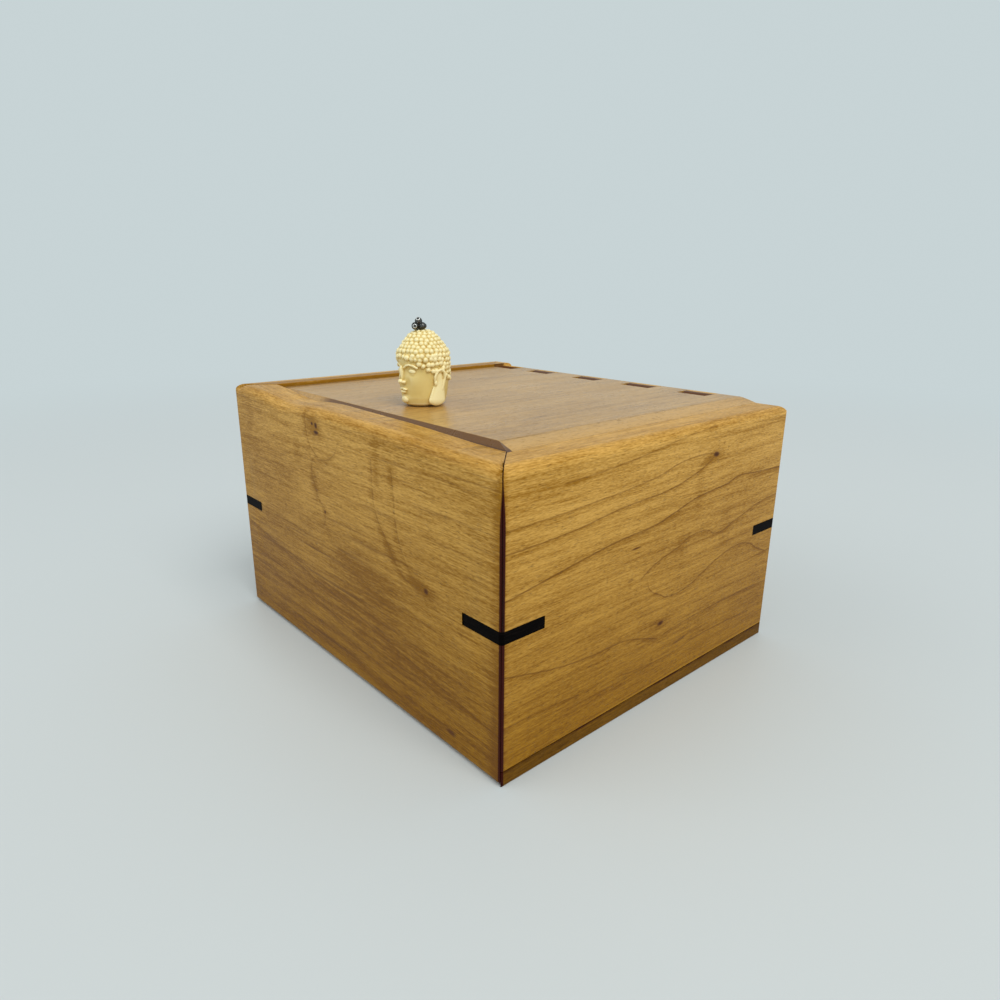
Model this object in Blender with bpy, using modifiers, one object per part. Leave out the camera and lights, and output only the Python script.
# A wooden keepsake box with keyed mitres, a knuckle hinge of wood and a carved bead as its knob.
# Units are metres and +Z is up. The front faces -Y, the hinge runs along the back, and the origin is
# the centre of the underside.

import math

import bmesh
import bpy
from mathutils import Matrix, Vector

# Box
BOX_WIDTH = 0.1672
BOX_DEPTH = 0.1450
BOARD = 0.0127
LEFT_HEIGHT = 0.0977
RIGHT_BELOW_LEFT = 0.0029
TOP_ROUND = 0.0035
FOOT_ROUND = 0.0025
JOINT_GAP = 0.0003

# The front's top edge is sanded by hand: shares of its length from left to right, each with the share
# of the fall from the left height to the right height that is reached there.
FRONT_TOP_SHARES = (
    (0.00, 0.00),
    (0.09, 0.05),
    (0.14, 0.20),
    (0.20, 0.52),
    (0.25, 0.84),
    (0.30, 0.84),
    (0.34, 0.62),
    (0.40, 0.45),
    (0.56, 0.53),
    (0.68, 0.64),
    (0.78, 0.84),
    (0.86, 1.00),
    (1.00, 1.00),
)

# Strip under the right side
STRIP_HEIGHT = 0.0049
STRIP_FOOT_ROUND = 0.0005

# Corner keys, let into slots that are sawn across the mitres
KEY_THICKNESS = 0.0034
KEY_REACH = 0.0158
KEY_HEIGHTS = {
    "front_right": 0.0475,
    "back_right": 0.0486,
    "back_left": 0.0481,
    "front_left": 0.0481,
}

# Bottom panel, loose in its grooves
PANEL_THICKNESS = 0.0050
PANEL_UNDERSIDE = 0.0090
GROOVE_DEPTH = 0.0050

# Lid
LID_BELOW_LEFT_TOP = 0.0013
LID_THICKNESS = 0.0127
LID_SIDE_CLEARANCE = 0.0004
LID_FRONT_CLEARANCE = 0.0010
LID_FRONT_ROUND = 0.0020
LID_RIGHT_ROUND_WIDTH = 0.0062
LID_RIGHT_ROUND_DROP = 0.0022

# Knuckle hinge. The edges are shares of the length between the left and right sides, and the
# knuckles belong to the back side and to the lid in turn, starting with the back side at the left.
KNUCKLE_EDGE_SHARES = (0.0, 0.091, 0.173, 0.268, 0.387, 0.481, 0.590, 0.694, 0.796, 0.888, 1.0)
KNUCKLE_CLEARANCE = 0.0003
KNUCKLE_OUTER_ROUND = 0.0035
HINGE_PIN_DIAMETER = 0.0030
HINGE_PIN_IN_SIDE = 0.0080
HINGE_PIN_CLEARANCE = 0.0003

# Lid rests, glued inside below the lid
REST_THICKNESS = 0.0060
REST_HEIGHT = 0.0080

# Knob: a carved head with a flat base, set on a headpin
HEAD_X = 0.0015
HEAD_FROM_FRONT = 0.0352
HEAD_WIDTH = 0.0182
HEAD_DEPTH = 0.0200
HEAD_HEIGHT = 0.0257
HEAD_OUTLINE_SHARES = (
    (0.20, 0.992),
    (0.42, 0.965),
    (0.63, 0.915),
    (0.81, 0.845),
    (0.93, 0.78),
    (0.99, 0.73),
    (0.99, 0.67),
    (0.95, 0.58),
    (0.92, 0.42),
    (0.87, 0.26),
    (0.80, 0.13),
    (0.70, 0.04),
    (0.60, 0.00),
)
EAR_WIDTH = 0.0034
EAR_DEPTH = 0.0064
EAR_HEIGHT = 0.0150
EAR_BACK_OF_CENTRE = 0.0012
EAR_FOOT = 0.0003
EAR_APART = 0.0148

KNOB_PIN_DIAMETER = 0.0009
KNOB_PIN_FORWARD = 0.0014
KNOB_PIN_CLEARANCE = 0.0003
KNOB_PIN_IN_LID = 0.0080
BALL_DIAMETER = 0.0026
BALL_SPACING = 0.0025
TOP_BALL_RISE = 0.0016

# Overrun of every cut, the fineness of round stretches, and the distance at which points are welded
OVERRUN = 0.0020
ARC_STEPS = 6
ROUND_SIDES = 24
WELD_DISTANCE = JOINT_GAP / 100

# Places that follow from the sizes above
HALF_WIDTH = BOX_WIDTH / 2
HALF_DEPTH = BOX_DEPTH / 2
INNER_X = HALF_WIDTH - BOARD
INNER_Y = HALF_DEPTH - BOARD
RIGHT_HEIGHT = LEFT_HEIGHT - RIGHT_BELOW_LEFT
LID_TOP = LEFT_HEIGHT - LID_BELOW_LEFT_TOP
LID_UNDERSIDE = LID_TOP - LID_THICKNESS
LID_FRONT = -INNER_Y + LID_FRONT_CLEARANCE
HINGE_Y = HALF_DEPTH - BOARD / 2
HINGE_Z = LID_TOP - LID_THICKNESS / 2
KNUCKLE_REACH = max(BOARD, LID_THICKNESS) / 2 + KNUCKLE_CLEARANCE
BLANK_TOP = LEFT_HEIGHT + OVERRUN
HEAD_Y = -HALF_DEPTH + HEAD_FROM_FRONT
HEAD_BASE = LID_TOP + JOINT_GAP
HEAD_TOP = HEAD_BASE + HEAD_HEIGHT
KNOB_PIN_Y = HEAD_Y - KNOB_PIN_FORWARD

WOOD = (0.46, 0.27, 0.095)
WOOD_GOLDEN = (0.56, 0.33, 0.11)
WOOD_LID = (0.42, 0.26, 0.13)
WOOD_STRIP = (0.20, 0.10, 0.035)
WOOD_KEY = (0.018, 0.015, 0.013)
WOOD_PALE = (0.55, 0.40, 0.22)
STEEL = (0.55, 0.55, 0.56)
BONE = (0.80, 0.68, 0.40)
DARK_SILVER = (0.09, 0.09, 0.10)


def clear_scene():
    for item in list(bpy.data.objects):
        bpy.data.objects.remove(item, do_unlink=True)


def new_collection(name):
    collection = bpy.data.collections.new(name)
    bpy.context.scene.collection.children.link(collection)
    return collection


def new_material(name, colour, roughness, metallic):
    material = bpy.data.materials.new(name)
    material.use_nodes = True
    shader = material.node_tree.nodes["Principled BSDF"]
    shader.inputs["Base Color"].default_value = (*colour, 1.0)
    shader.inputs["Roughness"].default_value = roughness
    shader.inputs["Metallic"].default_value = metallic
    return material


def object_from_bmesh(name, bm, collection):
    mesh = bpy.data.meshes.new(name)
    bm.to_mesh(mesh)
    bm.free()
    item = bpy.data.objects.new(name, mesh)
    collection.objects.link(item)
    return item


def finish(item, colour, roughness, metallic=0.0):
    item.data.materials.clear()
    item.data.materials.append(new_material(item.name, colour, roughness, metallic))
    return item


def block(name, low, high, collection):
    """A box between two corners."""
    low = Vector(low)
    high = Vector(high)
    bm = bmesh.new()
    bmesh.ops.create_cube(bm, size=1.0)
    bmesh.ops.scale(bm, vec=high - low, verts=bm.verts)
    bmesh.ops.translate(bm, vec=(high + low) / 2, verts=bm.verts)
    return object_from_bmesh(name, bm, collection)


def rod(name, radius, start, end, collection):
    """A round rod from one point to another."""
    start = Vector(start)
    end = Vector(end)
    bm = bmesh.new()
    bmesh.ops.create_cone(
        bm, cap_ends=True, segments=ROUND_SIDES, radius1=radius, radius2=radius, depth=(end - start).length
    )
    turn = (end - start).to_track_quat("Z", "Y").to_matrix().to_4x4()
    bmesh.ops.transform(bm, matrix=Matrix.Translation((start + end) / 2) @ turn, verts=bm.verts)
    return object_from_bmesh(name, bm, collection)


def prism(name, outline, thickness, frame, collection):
    """A flat outline in the frame's XY plane, given a thickness along the frame's Z."""
    curve = bpy.data.curves.new(name, "CURVE")
    curve.dimensions = "2D"
    curve.fill_mode = "BOTH"
    curve.extrude = thickness / 2
    spline = curve.splines.new("POLY")
    spline.points.add(len(outline) - 1)
    for point, (x, y) in zip(spline.points, outline):
        point.co = (x, y, 0.0, 1.0)
    spline.use_cyclic_u = True
    guide = bpy.data.objects.new(name + "_outline", curve)
    collection.objects.link(guide)
    evaluated = guide.evaluated_get(bpy.context.evaluated_depsgraph_get())
    mesh = bpy.data.meshes.new_from_object(evaluated)
    bpy.data.objects.remove(guide, do_unlink=True)
    mesh.name = name
    bm = bmesh.new()
    bm.from_mesh(mesh)
    bmesh.ops.remove_doubles(bm, verts=bm.verts, dist=WELD_DISTANCE)
    bmesh.ops.recalc_face_normals(bm, faces=bm.faces)
    bm.to_mesh(mesh)
    bm.free()
    item = bpy.data.objects.new(name, mesh)
    item.matrix_world = frame
    collection.objects.link(item)
    return item


def boolean(item, tool, operation="DIFFERENCE"):
    modifier = item.modifiers.new(tool.name, "BOOLEAN")
    modifier.operation = operation
    modifier.solver = "EXACT"
    modifier.object = tool


def hide_tool(tool):
    tool.hide_render = True
    tool.display_type = "WIRE"
    return tool


def arc(centre, radii, start_angle, end_angle):
    """Points of a quarter round. Its end facets are drawn out, so that a cut leaves the wood cleanly."""
    points = []
    for step in range(ARC_STEPS + 1):
        angle = start_angle + (end_angle - start_angle) * step / ARC_STEPS
        points.append(Vector((centre[0] + radii[0] * math.cos(angle), centre[1] + radii[1] * math.sin(angle))))
    points[0] = points[0] * 2 - points[1]
    points[-1] = points[-1] * 2 - points[-2]
    return points


def frame_along(along, middle):
    """A frame whose X is across, whose Y is up and whose Z runs along the world's X or Y."""
    if along == "X":
        return Matrix(((0, 0, 1, middle), (1, 0, 0, 0), (0, 1, 0, 0), (0, 0, 0, 1)))
    return Matrix(((1, 0, 0, 0), (0, 0, -1, middle), (0, 1, 0, 0), (0, 0, 0, 1)))


def edge_round(name, along, start, end, corner, outward, radii, tools):
    """The waste outside a rounded edge that runs along X or Y.

    corner is the sharp edge's place across and up, outward points away from the wood, and radii are
    the round's size across and up.
    """
    across, up = corner
    out_across, out_up = outward
    radius_across, radius_up = radii
    centre = (across - out_across * radius_across, up - out_up * radius_up)
    outline = arc(centre, (out_across * radius_across, out_up * radius_up), 0.0, math.pi / 2)
    outline.append(Vector((outline[-1].x, up + out_up * OVERRUN)))
    outline.append(Vector((across + out_across * OVERRUN, up + out_up * OVERRUN)))
    outline.append(Vector((across + out_across * OVERRUN, outline[0].y)))
    return hide_tool(prism(name, outline, end - start, frame_along(along, (start + end) / 2), tools))


def height_at(tops, share):
    """The height of a top edge at a share of the length, straight between the given places."""
    for (start, start_height), (end, end_height) in zip(tops, tops[1:]):
        if share <= end:
            return start_height + (end_height - start_height) * (share - start) / (end - start)
    return tops[-1][1]


def mitred_board(name, length, reach, bottom, tops, top_round, foot_round, quarter_turns, collection):
    """A board on edge with mitred ends, its outer face at the given reach from the middle.

    tops holds shares of the length, each with the height of the top edge there. The board is made
    level and facing -Y, its top is then let down to those heights, and it is turned to its side of
    the box.
    """
    half_length = length / 2 - JOINT_GAP / math.sqrt(2)
    level = tops[0][1]
    middle_up = (level + bottom) / 2
    middle_across = BOARD / 2 - reach
    bm = bmesh.new()
    bmesh.ops.create_cube(bm, size=1.0)
    bmesh.ops.scale(bm, vec=(2 * half_length, BOARD, level - bottom), verts=bm.verts)
    bmesh.ops.translate(bm, vec=(0.0, middle_across, middle_up), verts=bm.verts)
    for vertex in bm.verts:
        if vertex.co.y > middle_across:
            vertex.co.x -= math.copysign(BOARD, vertex.co.x)
    for want_top, radius in ((True, top_round), (False, foot_round)):
        if radius:
            edges = []
            for edge in bm.edges:
                outer = all(vertex.co.y < middle_across for vertex in edge.verts)
                at_level = all((vertex.co.z > middle_up) == want_top for vertex in edge.verts)
                if outer and at_level:
                    edges.append(edge)
            bmesh.ops.bevel(
                bm, geom=edges, offset=radius, offset_type="OFFSET", segments=ARC_STEPS, profile=0.5,
                affect="EDGES",
            )
    for share, height in tops[1:-1]:
        geometry = bm.verts[:] + bm.edges[:] + bm.faces[:]
        place = Vector(((share - 0.5) * length, 0.0, 0.0))
        bmesh.ops.bisect_plane(bm, geom=geometry, plane_co=place, plane_no=(1.0, 0.0, 0.0))
    for vertex in bm.verts:
        if vertex.co.z > middle_up:
            vertex.co.z += height_at(tops, vertex.co.x / length + 0.5) - level
    board = object_from_bmesh(name, bm, collection)
    board.rotation_euler = (0.0, 0.0, quarter_turns * math.pi / 2)
    return board


def make_sides(parts):
    front_tops = [(share, LEFT_HEIGHT - RIGHT_BELOW_LEFT * fallen) for share, fallen in FRONT_TOP_SHARES]
    left_tops = [(0.0, LEFT_HEIGHT), (1.0, LEFT_HEIGHT)]
    right_tops = [(0.0, RIGHT_HEIGHT), (1.0, RIGHT_HEIGHT)]
    front = mitred_board(
        "front_side", BOX_WIDTH, HALF_DEPTH, 0.0, front_tops, TOP_ROUND, FOOT_ROUND, 0, parts
    )
    right = mitred_board(
        "right_side", BOX_DEPTH, HALF_WIDTH, STRIP_HEIGHT + JOINT_GAP, right_tops, TOP_ROUND, 0.0, 1, parts
    )
    blank_tops = [(0.0, BLANK_TOP), (1.0, BLANK_TOP)]
    back = mitred_board("back_side", BOX_WIDTH, HALF_DEPTH, 0.0, blank_tops, 0.0, FOOT_ROUND, 2, parts)
    left = mitred_board(
        "left_side", BOX_DEPTH, HALF_WIDTH, 0.0, left_tops, TOP_ROUND, FOOT_ROUND, 3, parts
    )
    strip_tops = [(0.0, STRIP_HEIGHT), (1.0, STRIP_HEIGHT)]
    strip = mitred_board(
        "right_base_strip", BOX_DEPTH, HALF_WIDTH, 0.0, strip_tops, 0.0, STRIP_FOOT_ROUND, 1, parts
    )
    finish(front, WOOD, 0.38)
    finish(right, WOOD_GOLDEN, 0.38)
    finish(back, WOOD, 0.38)
    finish(left, WOOD, 0.38)
    finish(strip, WOOD_STRIP, 0.5)
    return front, right, back, left


def make_keys(boards, parts, tools):
    """One key at each corner, in a slot across the two boards that meet there."""
    front, right, back, left = boards
    corners = {
        "front_right": (HALF_WIDTH, -HALF_DEPTH, 0, (front, right)),
        "back_right": (HALF_WIDTH, HALF_DEPTH, 1, (right, back)),
        "back_left": (-HALF_WIDTH, HALF_DEPTH, 2, (back, left)),
        "front_left": (-HALF_WIDTH, -HALF_DEPTH, 3, (left, front)),
    }
    outline = ((0.0, 0.0), (0.0, KEY_REACH), (-KEY_REACH, 0.0))
    depth = KEY_REACH / math.sqrt(2) + JOINT_GAP
    half_thickness = KEY_THICKNESS / 2 + JOINT_GAP
    for corner, (x, y, quarter_turns, neighbours) in corners.items():
        place = Matrix.Translation((x, y, KEY_HEIGHTS[corner]))
        turn = Matrix.Rotation(quarter_turns * math.pi / 2, 4, "Z")
        key = prism("corner_key_" + corner, outline, KEY_THICKNESS, place @ turn, parts)
        finish(key, WOOD_KEY, 0.45)
        slot = block(
            "key_slot_" + corner,
            (-KEY_REACH - OVERRUN, -OVERRUN, -half_thickness),
            (KEY_REACH + OVERRUN, depth, half_thickness),
            tools,
        )
        slot.matrix_world = place @ turn @ Matrix.Rotation(math.pi / 4, 4, "Z")
        hide_tool(slot)
        for board in neighbours:
            boolean(board, slot)


def make_bottom(boards, parts, tools):
    half_x = INNER_X + GROOVE_DEPTH
    half_y = INNER_Y + GROOVE_DEPTH
    top = PANEL_UNDERSIDE + PANEL_THICKNESS
    panel = block(
        "bottom_panel",
        (JOINT_GAP - half_x, JOINT_GAP - half_y, PANEL_UNDERSIDE),
        (half_x - JOINT_GAP, half_y - JOINT_GAP, top),
        parts,
    )
    finish(panel, WOOD_PALE, 0.6)
    groove = block(
        "bottom_groove",
        (-half_x, -half_y, PANEL_UNDERSIDE - JOINT_GAP),
        (half_x, half_y, top + JOINT_GAP),
        tools,
    )
    hide_tool(groove)
    for board in boards:
        boolean(board, groove)


def knuckle_outer_round():
    return min(KNUCKLE_OUTER_ROUND, BOARD / 2, LID_THICKNESS / 2)


def knuckle_spans():
    """The stretches along X of the back side's knuckles and of the lid's knuckles."""
    edges = [(2 * share - 1) * INNER_X for share in KNUCKLE_EDGE_SHARES]
    spans = list(zip(edges, edges[1:]))
    return spans[0::2], spans[1::2]


def shape_back_knuckles(back, tools):
    """Cut the back side's blank down to its corners, and to knuckles round about the hinge pin."""
    above = BLANK_TOP + OVERRUN
    outside = HALF_WIDTH + OVERRUN
    inside_face = INNER_Y - OVERRUN
    outside_face = HALF_DEPTH + OVERRUN
    own, lids = knuckle_spans()
    last_slot_middle = sum(lids[-1]) / 2
    inner = arc((HINGE_Y, HINGE_Z), (BOARD / 2, LID_THICKNESS / 2), math.pi, math.pi / 2)
    outer_round = knuckle_outer_round()
    outer = arc(
        (HALF_DEPTH - outer_round, LID_TOP - outer_round), (outer_round, outer_round), math.pi / 2, 0.0
    )
    inner[-1] = Vector((HINGE_Y, LID_TOP))
    outer[0] = Vector((HALF_DEPTH - outer_round, LID_TOP))
    outline = inner + outer
    outline.append(Vector((outside_face, outer[-1].y)))
    outline.append(Vector((outside_face, above)))
    outline.append(Vector((inside_face, above)))
    outline.append(Vector((inside_face, inner[0].y)))
    length = last_slot_middle + INNER_X
    waste = prism("knuckle_waste", outline, length, frame_along("X", length / 2 - INNER_X), tools)
    boolean(back, hide_tool(waste))
    corners = (
        ("left_corner", -outside, OVERRUN - INNER_X, LEFT_HEIGHT),
        ("right_corner", last_slot_middle, outside, RIGHT_HEIGHT),
    )
    for name, start, end, height in corners:
        level = block(name + "_level", (start, inside_face, height), (end, outside_face, above), tools)
        boolean(back, hide_tool(level))
        radii = (TOP_ROUND, TOP_ROUND)
        boolean(
            back, edge_round(name + "_round", "X", start, end, (HALF_DEPTH, height), (1, 1), radii, tools)
        )
    for number, (start, end) in enumerate(lids, 1):
        gap_end = end if number == len(lids) else end + KNUCKLE_CLEARANCE / 2
        slot = block(
            f"lid_knuckle_slot_{number}",
            (start - KNUCKLE_CLEARANCE / 2, inside_face, HINGE_Z - KNUCKLE_REACH),
            (gap_end, outside_face, above),
            tools,
        )
        boolean(back, hide_tool(slot))


def make_lid(parts, tools):
    """The lid, with its rounded edges and with notches for the back side's knuckles."""
    knuckle_round = knuckle_outer_round()
    half_x = INNER_X - LID_SIDE_CLEARANCE
    front_end = LID_FRONT - OVERRUN
    back_end = HALF_DEPTH + OVERRUN
    left_end = -half_x - OVERRUN
    right_end = half_x + OVERRUN
    lid = block("lid", (-half_x, LID_FRONT, LID_UNDERSIDE), (half_x, HALF_DEPTH, LID_TOP), parts)
    rounds = (
        ("lid_right_round", "Y", front_end, back_end, (half_x, LID_TOP), (1, 1),
         (LID_RIGHT_ROUND_WIDTH, LID_RIGHT_ROUND_DROP)),
        ("lid_front_round", "X", left_end, right_end, (LID_FRONT, LID_TOP), (-1, 1),
         (LID_FRONT_ROUND, LID_FRONT_ROUND)),
        ("lid_back_round", "X", left_end, right_end, (HALF_DEPTH, LID_TOP), (1, 1),
         (knuckle_round, knuckle_round)),
        ("lid_knuckle_round", "X", left_end, right_end, (HALF_DEPTH, LID_UNDERSIDE), (1, -1),
         (BOARD / 2, LID_THICKNESS / 2)),
    )
    for name, along, start, end, corner, outward, radii in rounds:
        boolean(lid, edge_round(name, along, start, end, corner, outward, radii, tools))
    backs, own = knuckle_spans()
    for number, (start, end) in enumerate(backs, 1):
        gap_start = left_end if number == 1 else start - KNUCKLE_CLEARANCE / 2
        notch = block(
            f"back_knuckle_notch_{number}",
            (gap_start, HINGE_Y - KNUCKLE_REACH, LID_UNDERSIDE - OVERRUN),
            (end + KNUCKLE_CLEARANCE / 2, back_end, LID_TOP + OVERRUN),
            tools,
        )
        boolean(lid, hide_tool(notch))
    return finish(lid, WOOD_LID, 0.3)


def make_hinge_pin(drilled, parts, tools):
    reach = INNER_X + HINGE_PIN_IN_SIDE
    radius = HINGE_PIN_DIAMETER / 2
    pin = rod("hinge_pin", radius, (-reach, HINGE_Y, HINGE_Z), (reach, HINGE_Y, HINGE_Z), parts)
    finish(pin, STEEL, 0.3, 1.0)
    reach += JOINT_GAP
    bore = rod(
        "hinge_bore", radius + HINGE_PIN_CLEARANCE, (-reach, HINGE_Y, HINGE_Z), (reach, HINGE_Y, HINGE_Z), tools
    )
    hide_tool(bore)
    for item in drilled:
        boolean(item, bore)


def make_lid_rests(parts):
    """Strips inside the front, left and right sides, with their tops just below the lid."""
    top = LID_UNDERSIDE - JOINT_GAP
    bottom = top - REST_HEIGHT
    wall_x = INNER_X - JOINT_GAP
    wall_y = INNER_Y - JOINT_GAP
    front_back = -wall_y + REST_THICKNESS
    front = block("front_lid_rest", (-wall_x, -wall_y, bottom), (wall_x, front_back, top), parts)
    side_start = front_back + JOINT_GAP
    left = block(
        "left_lid_rest", (-wall_x, side_start, bottom), (REST_THICKNESS - wall_x, wall_y, top), parts
    )
    right = block(
        "right_lid_rest", (wall_x - REST_THICKNESS, side_start, bottom), (wall_x, wall_y, top), parts
    )
    for rest in (front, left, right):
        finish(rest, WOOD_PALE, 0.6)


def ellipsoid(name, size, centre, turn, collection):
    bm = bmesh.new()
    bmesh.ops.create_icosphere(bm, subdivisions=2, radius=0.5)
    bmesh.ops.scale(bm, vec=size, verts=bm.verts)
    place = Matrix.Translation(centre) @ Matrix.Rotation(turn, 4, "Z")
    bmesh.ops.transform(bm, matrix=place, verts=bm.verts)
    return object_from_bmesh(name, bm, collection)


def make_knob_head(parts, tools):
    """The carved head: a turned form, wider than a circle from front to back, with long ears."""
    outline = [(0.0, 1.0)] + list(HEAD_OUTLINE_SHARES) + [(0.0, 0.0)]
    bm = bmesh.new()
    profile = [bm.verts.new((share / 2, 0.0, height * HEAD_HEIGHT)) for share, height in outline]
    for upper, lower in zip(profile, profile[1:]):
        bm.edges.new((upper, lower))
    head = object_from_bmesh("knob_head", bm, parts)
    head.location = (HEAD_X, HEAD_Y, HEAD_BASE)
    head.scale = (HEAD_WIDTH, HEAD_DEPTH, 1.0)
    screw = head.modifiers.new("turned", "SCREW")
    screw.steps = ROUND_SIDES
    screw.render_steps = ROUND_SIDES
    screw.use_merge_vertices = True
    screw.merge_threshold = WELD_DISTANCE
    for side, name in ((-1, "left_ear"), (1, "right_ear")):
        centre = (
            HEAD_X + side * EAR_APART / 2,
            HEAD_Y + EAR_BACK_OF_CENTRE,
            HEAD_BASE + EAR_FOOT + EAR_HEIGHT / 2,
        )
        ear = ellipsoid(name, (EAR_WIDTH, EAR_DEPTH, EAR_HEIGHT), centre, 0.0, tools)
        boolean(head, hide_tool(ear), "UNION")
    return finish(head, BONE, 0.35)


def make_knob_pin(head, lid, parts, tools):
    """A headpin: a thin shank down into the lid, and a head of three balls with a fourth on top."""
    radius = BALL_DIAMETER / 2
    lower_centre = HEAD_TOP + JOINT_GAP + radius
    ring_radius = BALL_SPACING / math.sqrt(3)
    top_centre = lower_centre + TOP_BALL_RISE
    foot = LID_TOP - KNOB_PIN_IN_LID
    pin = rod(
        "knob_pin", KNOB_PIN_DIAMETER / 2, (HEAD_X, KNOB_PIN_Y, foot), (HEAD_X, KNOB_PIN_Y, top_centre), parts
    )
    size = (BALL_DIAMETER, BALL_DIAMETER, BALL_DIAMETER)
    for number in range(3):
        angle = 2 * math.pi * number / 3
        centre = (
            HEAD_X + ring_radius * math.sin(angle),
            KNOB_PIN_Y - ring_radius * math.cos(angle),
            lower_centre,
        )
        ball = ellipsoid(f"lower_ball_{number + 1}", size, centre, angle, tools)
        boolean(pin, hide_tool(ball), "UNION")
    top_ball = ellipsoid("top_ball", size, (HEAD_X, KNOB_PIN_Y, top_centre), 0.0, tools)
    boolean(pin, hide_tool(top_ball), "UNION")
    finish(pin, DARK_SILVER, 0.35, 1.0)
    bore = rod(
        "knob_bore",
        KNOB_PIN_DIAMETER / 2 + KNOB_PIN_CLEARANCE,
        (HEAD_X, KNOB_PIN_Y, foot - JOINT_GAP),
        (HEAD_X, KNOB_PIN_Y, HEAD_TOP + OVERRUN),
        tools,
    )
    hide_tool(bore)
    boolean(head, bore)
    boolean(lid, bore)
    return pin


def hang_on_hinge(items, parts):
    """Parent the moving pieces to an empty on the hinge's axis, without moving them."""
    place = Vector((0.0, HINGE_Y, HINGE_Z))
    hinge = bpy.data.objects.new("lid_hinge", None)
    hinge.location = place
    parts.objects.link(hinge)
    for item in items:
        item.parent = hinge
        item.matrix_parent_inverse = Matrix.Translation(-place)


def main():
    clear_scene()
    parts = new_collection("wooden_keepsake_box")
    tools = new_collection("cutters")
    boards = make_sides(parts)
    front, right, back, left = boards
    shape_back_knuckles(back, tools)
    make_bottom(boards, parts, tools)
    make_keys(boards, parts, tools)
    lid = make_lid(parts, tools)
    make_hinge_pin((left, right, back, lid), parts, tools)
    make_lid_rests(parts)
    head = make_knob_head(parts, tools)
    pin = make_knob_pin(head, lid, parts, tools)
    hang_on_hinge((lid, head, pin), parts)


main()
